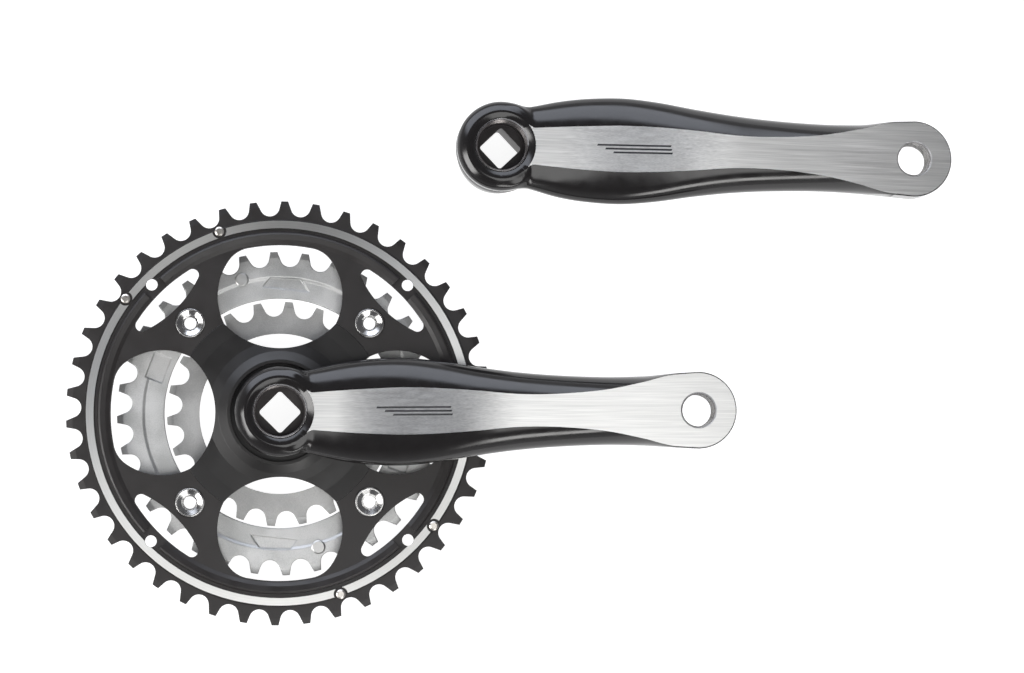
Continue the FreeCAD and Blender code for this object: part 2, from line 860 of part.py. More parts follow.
def taper_socket():
    """Square taper, corners towards +X and +Y, narrowing outboard."""
    depth, small = size.taper_depth.number, size.taper_small.number
    overrun = size.overrun.number
    slope = math.tan(math.radians(size.taper_angle.number))
    wires = []
    for level in (-overrun, depth + overrun):
        half = (small / 2 + (depth - level) * slope) * math.sqrt(2)
        corners = [(half, 0), (0, half), (-half, 0), (0, -half), (half, 0)]
        wires.append(Part.makePolygon([FreeCAD.Vector(x, y, level) for x, y in corners]))
    socket = Part.makeLoft(wires, True, True)
    uprights = [edge for edge in socket.Edges if edge.Length > depth]
    return socket.makeFillet(size.taper_corner.number, uprights)


def arm_shape(boss_profile):
    depth, rim = size.hub_depth.number, size.rim_radius.number
    hub, shoulder = size.hub_radius.number, size.hub_shoulder.number
    step = size.rim_step.number
    bulge = size.shoulder_bulge.number
    half_way = ((hub + rim) / 2 + bulge, (shoulder + depth - step) / 2 + bulge)
    hub_points = [(0, 0)] + boss_profile + [
        (hub, shoulder),
        (*half_way, rim, depth - step),
        (rim, depth),
        (0, depth),
    ]
    beam = Part.makeLoft([arm_section(*station) for station in ARM_STATIONS], True, False)
    reach = size.crank_length.number
    bottom = size.arm_bottom.number + size.pedal_lift.number
    thickness = depth - step + size.arm_lift.number - bottom
    end = Part.makeCylinder(size.pedal_radius.number, thickness, FreeCAD.Vector(reach, 0, bottom))
    shape = turned_solid(hub_points).fuse([beam, end]).removeSplitter()
    over = size.overrun.number
    floor = size.taper_depth.number
    thread = depth - size.extractor_length.number
    wall, mouth = size.extractor_wall.number, size.extractor_mouth.number
    recess = turned_solid(
        [
            (0, floor),
            (size.extractor_floor.number, floor),
            (size.extractor_floor.number, thread),
            (wall, thread),
            (wall, depth - size.mouth_chamfer.number),
            (mouth, depth),
            (mouth, depth + over),
            (0, depth + over),
        ]
    )
    bore, bevel = size.pedal_bore.number, size.end_chamfer.number
    flare, top = bore + size.pedal_flare.number, bottom + thickness
    pedal_hole = turned_solid(
        [
            (0, bottom - over),
            (flare, bottom - over),
            (bore, bottom + bevel),
            (bore, top - bevel),
            (flare, top + over),
            (0, top + over),
        ]
    )
    pedal_hole.translate(FreeCAD.Vector(reach, 0, 0))
    return shape.cut([recess, pedal_hole, taper_socket()])


def make_crank_arm(label, boss_profile):
    arm = document.addObject("Part::Feature", label)
    arm.Label = label
    arm.Shape = arm_shape(boss_profile)
    return arm


def make_right_crank_arm():
    boss, head = size.boss_radius.number, size.head_level.number
    hub = size.hub_radius.number
    return make_crank_arm("right_crank_arm", [(boss, 0), (boss, head), (hub, head)])


def make_left_crank_arm():
    foot, head = size.left_boss_radius.number, size.head_level.number
    hub = size.hub_radius.number
    arm = make_crank_arm("left_crank_arm", [(foot, 0), (hub, head)])
    turn = FreeCAD.Rotation(FreeCAD.Vector(0, 0, 1), size.left_turn.number)
    rest = size.inner_back - size.inner_head_height
    hub_place = FreeCAD.Vector(
        size.left_hub_across.number, size.left_hub_up.number, rest.number
    )
    arm.Placement = FreeCAD.Placement(hub_place, turn)
    return arm


# ---- assembly ----

parts = [
    make_right_crank_arm(),
    make_left_crank_arm(),
    make_spider(),
    make_outer_chainring(),
    make_middle_chainring(),
    make_inner_chainring(),
]
for number, degrees in enumerate(DIAGONALS, start=1):
    parts.append(make_chainring_bolt(number, degrees))
    parts.append(make_chainring_nut(number, degrees))
    parts.append(make_inner_ring_bolt(number, degrees))
for number, degrees in enumerate(OUTER_PIN_ANGLES, start=1):
    parts.append(make_outer_shift_pin(number, degrees))
for number, degrees in enumerate(MIDDLE_PIN_ANGLES, start=1):
    parts.append(make_middle_shift_pin(number, degrees))
document.recompute()

for item in document.Objects:
    if "Invalid" in item.State or "Error" in item.State:
        raise RuntimeError(f"{item.Label} did not recompute: {item.State}")
for part in parts:
    if part.Shape.isNull() or not part.Shape.isValid() or len(part.Shape.Solids) != 1:
        raise RuntimeError(f"{part.Label} is not one valid solid")

os.makedirs("parts", exist_ok=True)
for part in parts:
    part.Shape.exportStep(os.path.join("parts", part.Label + ".step"))
    print(f"{part.Label:22s} {part.Shape.Volume / 1000:9.2f} cm3")
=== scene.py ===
import json
import math

import bmesh
import bpy
from mathutils import Matrix, Vector


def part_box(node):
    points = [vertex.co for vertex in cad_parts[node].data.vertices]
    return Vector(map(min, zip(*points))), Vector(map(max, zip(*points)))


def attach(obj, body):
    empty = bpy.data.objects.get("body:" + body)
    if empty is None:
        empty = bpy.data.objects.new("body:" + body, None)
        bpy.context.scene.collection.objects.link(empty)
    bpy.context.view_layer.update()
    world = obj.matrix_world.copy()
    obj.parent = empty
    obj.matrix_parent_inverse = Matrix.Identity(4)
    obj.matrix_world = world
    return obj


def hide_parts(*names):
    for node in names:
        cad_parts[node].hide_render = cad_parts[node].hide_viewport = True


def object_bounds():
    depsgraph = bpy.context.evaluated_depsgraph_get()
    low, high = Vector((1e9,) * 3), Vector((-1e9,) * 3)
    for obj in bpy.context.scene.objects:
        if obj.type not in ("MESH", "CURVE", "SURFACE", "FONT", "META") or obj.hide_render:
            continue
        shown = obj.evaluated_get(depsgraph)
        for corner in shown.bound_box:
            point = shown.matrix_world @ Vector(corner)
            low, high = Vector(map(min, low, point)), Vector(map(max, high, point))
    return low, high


# The looks of a bicycle crankset: finishes for the CAD pieces, cut threads, light and camera.
# Everything is in metres in the frame of the CAD model.

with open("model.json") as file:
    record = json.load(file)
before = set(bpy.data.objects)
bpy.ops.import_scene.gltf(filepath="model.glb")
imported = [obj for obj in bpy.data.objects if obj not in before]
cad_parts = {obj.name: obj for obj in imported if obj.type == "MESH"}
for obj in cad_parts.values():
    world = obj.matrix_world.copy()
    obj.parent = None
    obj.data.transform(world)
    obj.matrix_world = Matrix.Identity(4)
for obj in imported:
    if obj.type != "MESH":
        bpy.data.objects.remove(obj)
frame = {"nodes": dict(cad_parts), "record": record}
cad_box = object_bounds()
record = frame["record"]
mounts = {mount["name"]: mount for mount in record["mounts"]}

MM = 0.001
LEFT_TURN = math.radians(-1.95)

# Printed stripes on an arm's face, in millimetres: start along it, length and offset across it.
# Their ends slant by STRIPE_LEAN along the arm for each millimetre across it.
STRIPES = ((38.5, 30.0, 1.5), (42.5, 27.0, 0.0), (46.5, 24.0, -1.5))
STRIPE_HALF_WIDTH = 0.38
STRIPE_LEAN = 0.45

# The outer chainring's bright band, in millimetres.
BAND_INNER = 75.85
BAND_OUTER = 79.05
BAND_ABOVE_BACK = 3.0
BAND_DEPTH = 0.15


# ---- node helpers ----


class Nodes:
    """A material's node tree with short calls for the nodes used here."""

    def __init__(self, name):
        self.material = bpy.data.materials.new(name)
        self.material.use_nodes = True
        self.tree = self.material.node_tree
        self.tree.nodes.clear()

    def add(self, kind, **settings):
        node = self.tree.nodes.new("ShaderNode" + kind)
        for key, value in settings.items():
            setattr(node, key, value)
        return node

    def feed(self, socket, value):
        if isinstance(value, bpy.types.NodeSocket):
            self.tree.links.new(value, socket)
        elif value is not None:
            socket.default_value = value

    def calc(self, operation, first, second=None):
        node = self.add("Math", operation=operation)
        for socket, value in zip(node.inputs, (first, second)):
            self.feed(socket, value)
        return node.outputs[0]

    def vector(self, operation, first, second):
        node = self.add("VectorMath", operation=operation)
        for socket, value in zip(node.inputs, (first, second)):
            self.feed(socket, value)
        return node.outputs[0]

    def split(self, vector):
        node = self.add("SeparateXYZ")
        self.feed(node.inputs[0], vector)
        return node.outputs

    def ramp(self, value, low, high, start=0.0, end=1.0):
        """A smooth step from start to end as the value goes from low to high."""
        node = self.add("MapRange", interpolation_type="SMOOTHSTEP")
        for socket, item in zip(node.inputs, (value, low, high, start, end)):
            self.feed(socket, item)
        return node.outputs[0]

    def mix(self, share, first, second):
        node = self.add("Mix", data_type="RGBA")
        self.feed(node.inputs[0], share)
        self.feed(node.inputs[6], first)
        self.feed(node.inputs[7], second)
        return node.outputs[2]

    def noise(self, vector, scale, detail=3.0, stretch=(1.0, 1.0, 1.0)):
        stretched = self.vector("MULTIPLY", vector, stretch)
        node = self.add("TexNoise")
        self.feed(node.inputs["Vector"], stretched)
        node.inputs["Scale"].default_value = scale
        node.inputs["Detail"].default_value = detail
        return node.outputs[0]

    def bump(self, height, strength, distance, normal=None):
        node = self.add("Bump")
        node.inputs["Strength"].default_value = strength
        node.inputs["Distance"].default_value = distance
        self.feed(node.inputs["Height"], height)
        self.feed(node.inputs["Normal"], normal)
        return node.outputs[0]

    def rounded_edges(self, radius):
        """Normals that round sharp edges a little, so that edges catch the light."""
        node = self.add("Bevel", samples=6)
        node.inputs["Radius"].default_value = radius
        return node.outputs[0]

    def surface(self, **inputs):
        shader = self.add("BsdfPrincipled")
        for key, value in inputs.items():
            self.feed(shader.inputs[key.replace("_", " ")], value)
        return shader.outputs[0]

    def blend(self, share, first, second):
        node = self.add("MixShader")
        self.feed(node.inputs[0], share)
        self.feed(node.inputs[1], first)
        self.feed(node.inputs[2], second)
        return node.outputs[0]

    def finish(self, shader):
        output = self.add("OutputMaterial")
        self.tree.links.new(shader, output.inputs["Surface"])
        return self.material


def colour(red, green, blue):
    return (red, green, blue, 1.0)


def within(nodes, value, low, high, soft):
    """1 where the value lies between low and high, with soft ends."""
    rising = nodes.ramp(value, low - soft, low + soft)
    falling = nodes.ramp(value, high - soft, high + soft, 1.0, 0.0)
    return nodes.calc("MULTIPLY", rising, falling)


# ---- finishes ----


def arm_place(nodes, hub, turn):
    """Position along, across and above an arm, from its hub."""
    place = nodes.add("TexCoord").outputs["Object"]
    moved = nodes.vector("SUBTRACT", place, tuple(hub))
    turned = nodes.add("VectorRotate", rotation_type="Z_AXIS")
    nodes.feed(turned.inputs["Vector"], moved)
    turned.inputs["Angle"].default_value = -turn
    return turned.outputs[0]


def brushed_face(name, hub, turn):
    """Milled and brushed aluminium, printed with three slim stripes that have slanted ends."""
    nodes = Nodes(name)
    local = arm_place(nodes, hub, turn)
    x, y = nodes.split(local)[:2]
    streaks = nodes.noise(local, 1.0, 4.0, (45.0, 5200.0, 5200.0))
    broad = nodes.noise(local, 1.0, 2.0, (14.0, 900.0, 900.0))
    grain = nodes.calc("ADD", nodes.calc("MULTIPLY", streaks, 0.7), nodes.calc("MULTIPLY", broad, 0.3))
    tangent = nodes.add("CombineXYZ")
    tangent.inputs[0].default_value = -math.sin(turn)
    tangent.inputs[1].default_value = math.cos(turn)
    tone = nodes.ramp(grain, 0.3, 0.7)
    bare = nodes.surface(
        Base_Color=nodes.mix(tone, colour(0.64, 0.64, 0.63), colour(0.86, 0.855, 0.84)),
        Metallic=1.0,
        Roughness=nodes.ramp(grain, 0.3, 0.7, 0.29, 0.38),
        Anisotropic=0.75,
        Tangent=tangent.outputs[0],
        Normal=nodes.bump(streaks, 0.12, 0.02 * MM),
    )
    lean = nodes.calc("SUBTRACT", x, nodes.calc("MULTIPLY", y, STRIPE_LEAN))
    stripes = None
    for start, length, level in STRIPES:
        line = within(nodes, lean, start * MM, (start + length) * MM, 0.08 * MM)
        low, high = level - STRIPE_HALF_WIDTH, level + STRIPE_HALF_WIDTH
        band = within(nodes, y, low * MM, high * MM, 0.06 * MM)
        stripe = nodes.calc("MULTIPLY", line, band)
        stripes = stripe if stripes is None else nodes.calc("MAXIMUM", stripes, stripe)
    mottled = nodes.noise(local, 420.0, 2.0)
    ink = nodes.surface(
        Base_Color=nodes.mix(mottled, colour(0.02, 0.02, 0.022), colour(0.035, 0.035, 0.038)),
        Roughness=0.45,
    )
    return nodes.finish(nodes.blend(stripes, bare, ink))


def black_paint():
    """Glossy black paint with a faint orange peel."""
    nodes = Nodes("gloss_black")
    place = nodes.add("TexCoord").outputs["Object"]
    peel = nodes.noise(place, 420.0, 2.0)
    return nodes.finish(nodes.surface(
        Base_Color=nodes.mix(peel, colour(0.0105, 0.0095, 0.0095), colour(0.016, 0.0148, 0.015)),
        Roughness=nodes.ramp(nodes.noise(place, 160.0), 0.3, 0.7, 0.10, 0.17),
        Normal=nodes.bump(peel, 0.05, 0.1 * MM),
    ))


def turned_metal(name, dark, light, rough):
    """Bare metal left by a turning or drilling tool, in the colours given; the near-black colours for the
    hub's socket and recess are painted shade.
    """
    nodes = Nodes(name)
    place = nodes.add("TexCoord").outputs["Object"]
    lines = nodes.noise(place, 1.0, 2.0, (150.0, 150.0, 9000.0))
    return nodes.finish(nodes.surface(
        Base_Color=nodes.mix(lines, dark, light),
        Metallic=1.0,
        Roughness=nodes.ramp(lines, 0.3, 0.7, rough, rough + 0.1),
        Normal=nodes.bump(lines, 0.1, 0.02 * MM),
    ))


def spider_finish():
    """Satin black paint over a forging."""
    nodes = Nodes("spider_black")
    place = nodes.add("TexCoord").outputs["Object"]
    mottled = nodes.noise(place, 90.0, 4.0)
    fine = nodes.noise(place, 1500.0, 2.0)
    return nodes.finish(nodes.surface(
        Base_Color=nodes.mix(mottled, colour(0.008, 0.0072, 0.0072), colour(0.014, 0.0128, 0.0125)),
        Roughness=nodes.ramp(mottled, 0.3, 0.7, 0.34, 0.44),
        Normal=nodes.bump(fine, 0.10, 0.06 * MM, nodes.rounded_edges(0.4 * MM)),
    ))


def outer_ring_finish(top):
    """Black anodised plate with a bright turned band and fine turning marks."""
    nodes = Nodes("black_anodised")
    place = nodes.add("TexCoord").outputs["Object"]
    x, y, z = nodes.split(place)
    radius = nodes.calc("SQRT", nodes.calc("ADD", nodes.calc("POWER", x, 2.0), nodes.calc("POWER", y, 2.0)))
    upward = nodes.split(nodes.add("NewGeometry").outputs["True Normal"])[2]
    band = within(nodes, radius, BAND_INNER * MM, BAND_OUTER * MM, 0.03 * MM)
    band = nodes.calc("MULTIPLY", band, nodes.calc("GREATER_THAN", upward, 0.8))
    band = nodes.calc("MULTIPLY", band, nodes.calc("GREATER_THAN", z, top - BAND_DEPTH * MM))
    rings = nodes.add("TexNoise", noise_dimensions="1D")
    nodes.feed(rings.inputs["W"], nodes.calc("MULTIPLY", radius, 4500.0))
    rings.inputs["Scale"].default_value = 1.0
    mottled = nodes.noise(place, 120.0, 4.0)
    edges = nodes.rounded_edges(0.2 * MM)
    black = nodes.surface(
        Base_Color=nodes.mix(mottled, colour(0.014, 0.012, 0.0115), colour(0.023, 0.020, 0.0195)),
        Roughness=nodes.ramp(mottled, 0.3, 0.7, 0.36, 0.46),
        Normal=nodes.bump(rings.outputs[0], 0.12, 0.03 * MM, edges),
    )
    around = nodes.add("Tangent", direction_type="RADIAL", axis="Z")
    bright = nodes.surface(
        Base_Color=nodes.mix(rings.outputs[0], colour(0.62, 0.62, 0.61), colour(0.85, 0.85, 0.83)),
        Metallic=1.0,
        Roughness=0.34,
        Anisotropic=0.7,
        Tangent=around.outputs[0],
        Normal=nodes.bump(rings.outputs[0], 0.2, 0.03 * MM),
    )
    return nodes.finish(nodes.blend(band, black, bright))


def blasted_finish(name, dark, light, rough, edge):
    """Bead-blasted or satin bare metal with a fine tooth and faint stains."""
    nodes = Nodes(name)
    place = nodes.add("TexCoord").outputs["Object"]
    fine = nodes.noise(place, 2600.0, 2.0)
    stains = nodes.noise(place, 70.0, 4.0)
    tone = nodes.calc("ADD", nodes.calc("MULTIPLY", fine, 0.35), nodes.calc("MULTIPLY", stains, 0.65))
    return nodes.finish(nodes.surface(
        Base_Color=nodes.mix(nodes.ramp(tone, 0.35, 0.65), dark, light),
        Metallic=1.0,
        Roughness=nodes.ramp(stains, 0.3, 0.7, rough, rough + 0.08),
        Normal=nodes.bump(fine, 0.3, 0.03 * MM, nodes.rounded_edges(edge)),
    ))


def plated_finish(name, dark, light, rough):
    """Plated steel, bright or dull, with light scratches."""
    nodes = Nodes(name)
    place = nodes.add("TexCoord").outputs["Object"]
    stains = nodes.noise(place, 350.0, 4.0)
    scratches = nodes.noise(place, 1.0, 2.0, (900.0, 6000.0, 900.0))
    return nodes.finish(nodes.surface(
        Base_Color=nodes.mix(stains, dark, light),
        Metallic=1.0,
        Roughness=nodes.ramp(stains, 0.3, 0.7, rough, rough + 0.1),
        Normal=nodes.bump(scratches, 0.1, 0.02 * MM, nodes.rounded_edges(0.2 * MM)),
    ))


def paint_node(name, material):
    slots = frame["nodes"][name].material_slots
    for slot in slots:
        slot.material = material


drive_hub = Vector(mounts["drive_spindle_socket"]["pos_m"])
left_hub = Vector(mounts["left_spindle_socket"]["pos_m"])
outer_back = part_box("outer_chainring")[0].z

finishes = {
    "spider": spider_finish(),
    "outer_chainring": outer_ring_finish(outer_back + BAND_ABOVE_BACK * MM),
    "middle_chainring": blasted_finish(
        "blasted_aluminium", colour(0.52, 0.525, 0.52), colour(0.70, 0.70, 0.695), 0.40, 0.8 * MM),
    "inner_chainring": blasted_finish(
        "satin_steel", colour(0.44, 0.44, 0.44), colour(0.58, 0.58, 0.575), 0.38, 0.25 * MM),
    "chainring_bolt": plated_finish(
        "bright_chrome", colour(0.62, 0.61, 0.60), colour(0.85, 0.85, 0.84), 0.10),
    "chainring_nut": plated_finish(
        "bright_chrome_nut", colour(0.58, 0.57, 0.56), colour(0.8, 0.8, 0.79), 0.14),
    "inner_ring_bolt": plated_finish(
        "zinc_plate", colour(0.45, 0.45, 0.46), colour(0.66, 0.66, 0.67), 0.28),
    "outer_shift_pin": plated_finish(
        "pin_steel", colour(0.55, 0.52, 0.48), colour(0.75, 0.72, 0.68), 0.25),
    "middle_shift_pin": plated_finish(
        "pin_steel_dull", colour(0.55, 0.55, 0.54), colour(0.72, 0.72, 0.71), 0.32),
}
paint = black_paint()
# The socket and recess metal is coloured near black as painted shade of the deep hub recess; the bore metal
# keeps bare metal colours.
socket_metal_painted_shade = turned_metal("socket_metal_painted_shade", colour(0.05, 0.045, 0.045), colour(0.09, 0.085, 0.085), 0.4)
bore_metal = turned_metal("bore_metal", colour(0.45, 0.45, 0.46), colour(0.75, 0.75, 0.76), 0.25)
finishes["right_crank_arm"] = finishes["left_crank_arm"] = paint
for name in frame["nodes"]:
    key = name if name in finishes else name.rsplit("_", 1)[0]
    paint_node(name, finishes[key])


# ---- crank arms ----

# Stations along a crank arm, in millimetres: distance from the crank axis, half width of the
# arm and half width of its milled face.
ARM_STATIONS = (
    (0.0, 16.0, 7.0), (8.0, 16.2, 7.2), (24.0, 19.9, 8.4), (36.0, 21.5, 9.1), (50.0, 22.0, 9.6),
    (64.0, 20.7, 9.2), (80.0, 18.1, 8.1), (96.0, 16.0, 6.7), (112.0, 14.7, 6.7), (132.0, 13.95, 8.4),
    (148.0, 14.25, 11.6), (160.0, 15.0, 14.4), (170.0, 15.6, 15.2),
)

# Sizes of a crank arm, in millimetres; levels are above the inboard face of its boss.
CRANK = 170.0
HUB = 18.4
HUB_CREST = 14.2
CREST_LEVEL = 33.35
HUB_EDGE = 29.8
FACE_LEVEL = 33.5
LIFT = 8.0
BOTTOM = 22.4
BOTTOM_LIFT = 5.7
EDGE_ABOVE_BOTTOM = 3.6
HEAD_LEVEL = 20.5
END_BEVEL = 0.45
WIDEST_FACE = 0.974

# Stretches along the arm, from the crank axis, over which one shape eases into the next.
RISE = (22.0, 98.0)
HEAD_TO_BEAM = (4.0, 20.0)
EDGE_TO_BEAM = (-4.0, 26.0)
HUB_TO_BEAM = (0.0, 8.0)
BEVEL_STRETCH = (148.0, 162.0)

# The waist, where the outlines of hub and beam meet.
WAIST_BLEND = 3.0
WAIST_REACH = 4.0

# The neck, where the skins of hub and beam meet: its blend widens as the skins fall away.
NECK_REACH = 8.0
NECK_BLEND_LEAST = 0.8
NECK_BLEND_MOST = 5.0
NECK_BLEND_GROWTH = 1.8
NECK_STEEPNESS = 400.0

# The hub's bevel is a slope plus a late roll-off, each a share of the drop raised to a power.
SLOPE_SHARE = 0.62
SLOPE_POWER = 1.15
ROLL_SHARE = 0.38
ROLL_POWER = 8

# The flank under the forging's edge: distance in from the outline and share of the height left.
FLANK = ((0.02, 0.75), (0.1, 0.5), (0.35, 0.25), (0.9, 0.1), (1.9, 0.02), (3.2, 0.0))

# The machined cuts, in millimetres and degrees.
CUT_OVER = 1.0
SOCKET_DEPTH = 21.5
SOCKET_HALF = 6.25
SOCKET_CORNER = 1.3
SOCKET_TAPER = 2.0
RELIEF_RADIUS = 9.9
RELIEF_TOP = 24.5
RECESS_RADIUS = 10.6
RECESS_TOP = 32.1
RIM_LOW = 32.0
RIM_TOP = 32.6
LIP_LEVEL = 32.3
PEDAL_BORE = 7.0
PEDAL_MOUTH = 8.4
PEDAL_CHAMFER = 0.4
MILL_START = 5.0
MILL_SECTIONS = 186
MILL_HALF_WIDTH = 40.0
MILL_TOP = 400.0

# Turned bosses under the hubs, as (radius, level) points.
BOSS_TOP = 25.0
RIGHT_BOSS = [(15.5, 0.0), (15.5, BOSS_TOP)]
LEFT_BOSS = [(16.6, 0.0), (18.4, HEAD_LEVEL), (17.0, BOSS_TOP)]

# How finely the arms are divided.
HUB_STEPS = 64
BEAM_STEPS = 200
END_STEPS = 56
SKIN_STEPS = 30
CORNER_STEPS = 8
LATHE_SEGMENTS = 144


def ease(start, end, value):
    """0 before start, 1 after end, with a smooth rise between."""
    share = min(max((value - start) / (end - start), 0.0), 1.0)
    return share * share * (3 - 2 * share)


def through_stations(x, column):
    """A smooth curve through one column of the stations."""
    table = ARM_STATIONS
    i = max(j for j in range(len(table) - 1) if table[j][0] <= x or j == 0)

    def slope(j):
        before, after = max(j - 1, 0), min(j + 1, len(table) - 1)
        return (table[after][column] - table[before][column]) / (table[after][0] - table[before][0])

    span = table[i + 1][0] - table[i][0]
    u = min((x - table[i][0]) / span, 1.0)
    start, end = table[i][column], table[i + 1][column]
    return (start * (2 * u**3 - 3 * u**2 + 1) + end * (3 * u**2 - 2 * u**3)
            + span * (slope(i) * (u**3 - 2 * u**2 + u) + slope(i + 1) * (u**3 - u**2)))


def soft_max(first, second, blend):
    """The larger of two numbers, rounded where they are nearly equal."""
    overlap = max(blend - abs(first - second), 0.0)
    return max(first, second) + overlap * overlap / (4 * blend)


def half_width(x):
    beam = through_stations(min(max(x, 0.0), CRANK), 1)
    hub = math.sqrt(max(HUB**2 - x**2, 0.0))
    return soft_max(hub, beam, WAIST_BLEND) if x < HUB + WAIST_REACH else beam


def face_level(x):
    return FACE_LEVEL + LIFT * ease(*RISE, x)


def bottom_level(x):
    return HEAD_LEVEL + (BOTTOM - HEAD_LEVEL) * ease(*HEAD_TO_BEAM, x) + BOTTOM_LIFT * ease(*RISE, x)


def edge_level(x):
    beam = BOTTOM + BOTTOM_LIFT * ease(*RISE, x) + EDGE_ABOVE_BOTTOM
    return HUB_EDGE + (beam - HUB_EDGE) * ease(*EDGE_TO_BEAM, x)


def forging_level(x, y, reach):
    """Height of the forging's outer skin; reach is 0 on the arm's middle line, 1 on its outline."""
    along = min(max(x, 0.0), CRANK)
    edge = edge_level(x)
    face_share = min(through_stations(along, 2) / through_stations(along, 1), WIDEST_FACE)
    rise = (face_level(x) - edge) / math.sqrt(1 - face_share**2)
    beam = edge + rise * math.sqrt(max(1 - reach**2, 0.0))
    inset = (1 - reach) * through_stations(along, 1)
    bevelled = face_level(x) + inset - END_BEVEL
    beam += (bevelled - beam) * ease(*BEVEL_STRETCH, x)
    radius = math.hypot(x, y)
    if radius > HUB + NECK_REACH:
        return beam
    fall = max((radius - HUB_CREST) / (HUB - HUB_CREST), 0.0)
    drop = SLOPE_SHARE * fall**SLOPE_POWER + ROLL_SHARE * fall**ROLL_POWER
    hub = CREST_LEVEL - (CREST_LEVEL - edge) * drop
    if x <= 0:
        return hub
    widened = NECK_BLEND_LEAST + NECK_BLEND_GROWTH * (CREST_LEVEL - max(hub, beam))
    blend = min(max(widened, NECK_BLEND_LEAST), NECK_BLEND_MOST)
    joined = soft_max(hub, beam, blend)
    fade = ease(*HUB_TO_BEAM, x)
    settled = max(min(joined - edge, (1 - reach) * NECK_STEEPNESS), 0.0)
    return hub * (1 - fade) + (edge + settled) * fade


def arm_outline():
    """Foot on the middle line and point on the outline, once round the arm."""
    loop = []
    for i in range(HUB_STEPS):
        turn = math.pi * (0.5 + i / HUB_STEPS)
        loop.append(((0.0, 0.0), (HUB * math.cos(turn), HUB * math.sin(turn))))
    columns = [CRANK * i / BEAM_STEPS for i in range(BEAM_STEPS)]
    loop += [((x, 0.0), (x, -half_width(x))) for x in columns]
    end = half_width(CRANK)
    for i in range(END_STEPS + 1):
        turn = math.pi * (-0.5 + i / END_STEPS)
        loop.append(((CRANK, 0.0), (CRANK + end * math.cos(turn), end * math.sin(turn))))
    loop += [((x, 0.0), (x, half_width(x))) for x in reversed(columns[1:])]
    return loop


def new_piece(name, vertices, faces, material):
    mesh = bpy.data.meshes.new(name)
    mesh.from_pydata([Vector(v) for v in vertices], [], faces)
    mesh.materials.append(material)
    work = bmesh.new()
    work.from_mesh(mesh)
    bmesh.ops.remove_doubles(work, verts=work.verts, dist=1e-4)
    bmesh.ops.recalc_face_normals(work, faces=work.faces)
    work.to_mesh(mesh)
    work.free()
    piece = bpy.data.objects.new(name, mesh)
    bpy.context.scene.collection.objects.link(piece)
    return piece


def forging(name):
    """The arm before machining, in millimetres: rings from its middle line over its skin and back."""
    loop = arm_outline()
    reaches = [math.sin(math.pi / 2 * i / SKIN_STEPS) for i in range(SKIN_STEPS + 1)]
    rings = []
    for reach in reaches:
        ring = []
        for foot, rim in loop:
            x = foot[0] + reach * (rim[0] - foot[0])
            y = foot[1] + reach * (rim[1] - foot[1])
            ring.append((x, y, forging_level(x, y, reach)))
        rings.append(ring)
    for inset, share in FLANK:
        ring = []
        for foot, rim in loop:
            width = math.dist(foot, rim)
            reach = (width - inset) / width
            x = foot[0] + reach * (rim[0] - foot[0])
            y = foot[1] + reach * (rim[1] - foot[1])
            low = bottom_level(x)
            ring.append((x, y, low + share * (edge_level(x) - low)))
        rings.append(ring)
    rings.append([(foot[0], foot[1], bottom_level(foot[0])) for foot, _ in loop])
    count = len(loop)
    vertices = [point for ring in rings for point in ring]
    faces = []
    for i in range(len(rings) - 1):
        for j in range(count):
            k = (j + 1) % count
            faces.append((i * count + j, i * count + k, (i + 1) * count + k, (i + 1) * count + j))
    return new_piece(name, vertices, faces, paint)


def lathe(name, profile, material, centre=0.0):
    """A turned solid from (radius, level) points that start and end on the axis."""
    vertices, faces = [], []
    for i in range(LATHE_SEGMENTS):
        turn = 2 * math.pi * i / LATHE_SEGMENTS
        vertices += [(centre + r * math.cos(turn), r * math.sin(turn), z) for r, z in profile]
    size = len(profile)
    for i in range(LATHE_SEGMENTS):
        k = (i + 1) % LATHE_SEGMENTS
        for j in range(size - 1):
            faces.append((i * size + j, k * size + j, k * size + j + 1, i * size + j + 1))
    return new_piece(name, vertices, faces, material)


def mill_cutter(material):
    """Everything above the milled face."""
    xs = [MILL_START + i for i in range(MILL_SECTIONS)]
    side = MILL_HALF_WIDTH
    vertices = []
    for x in xs:
        low = face_level(x)
        vertices += [(x, -side, low), (x, side, low), (x, side, MILL_TOP), (x, -side, MILL_TOP)]
    faces = [(0, 1, 2, 3)]
    for i in range(len(xs) - 1):
        for j in range(4):
            k = (j + 1) % 4
            faces.append((4 * i + j, 4 * i + k, 4 * i + 4 + k, 4 * i + 4 + j))
    last = 4 * (len(xs) - 1)
    faces.append((last + 3, last + 2, last + 1, last))
    return new_piece("mill", vertices, faces, material)


def socket_cutter(material):
    """Square taper with rounded corners towards the arm's length, narrowing outboard."""
    rings = []
    for level in (-CUT_OVER, SOCKET_DEPTH + CUT_OVER):
        half = SOCKET_HALF + (SOCKET_DEPTH - level) * math.tan(math.radians(SOCKET_TAPER))
        ring = []
        for corner in range(4):
            middle = (half - SOCKET_CORNER) * math.sqrt(2)
            towards = math.pi / 2 * corner
            for i in range(CORNER_STEPS + 1):
                turn = towards + math.pi / 4 * (2 * i / CORNER_STEPS - 1)
                ring.append((middle * math.cos(towards) + SOCKET_CORNER * math.cos(turn),
                             middle * math.sin(towards) + SOCKET_CORNER * math.sin(turn), level))
        rings.append(ring)
    count = len(rings[0])
    faces = [tuple(reversed(range(count))), tuple(range(count, 2 * count))]
    faces += [(i, (i + 1) % count, count + (i + 1) % count, count + i) for i in range(count)]
    return new_piece("socket", rings[0] + rings[1], faces, material)


def combine(piece, other, operation):
    """Cut or join another piece into this one, keeping both materials."""
    modifier = piece.modifiers.new("combine", "BOOLEAN")
    modifier.operation = operation
    modifier.solver = "EXACT"
    modifier.material_mode = "TRANSFER"
    modifier.object = other
    evaluated = piece.evaluated_get(bpy.context.evaluated_depsgraph_get())
    mesh = bpy.data.meshes.new_from_object(evaluated)
    piece.modifiers.clear()
    piece.data = mesh
    bpy.data.objects.remove(other)


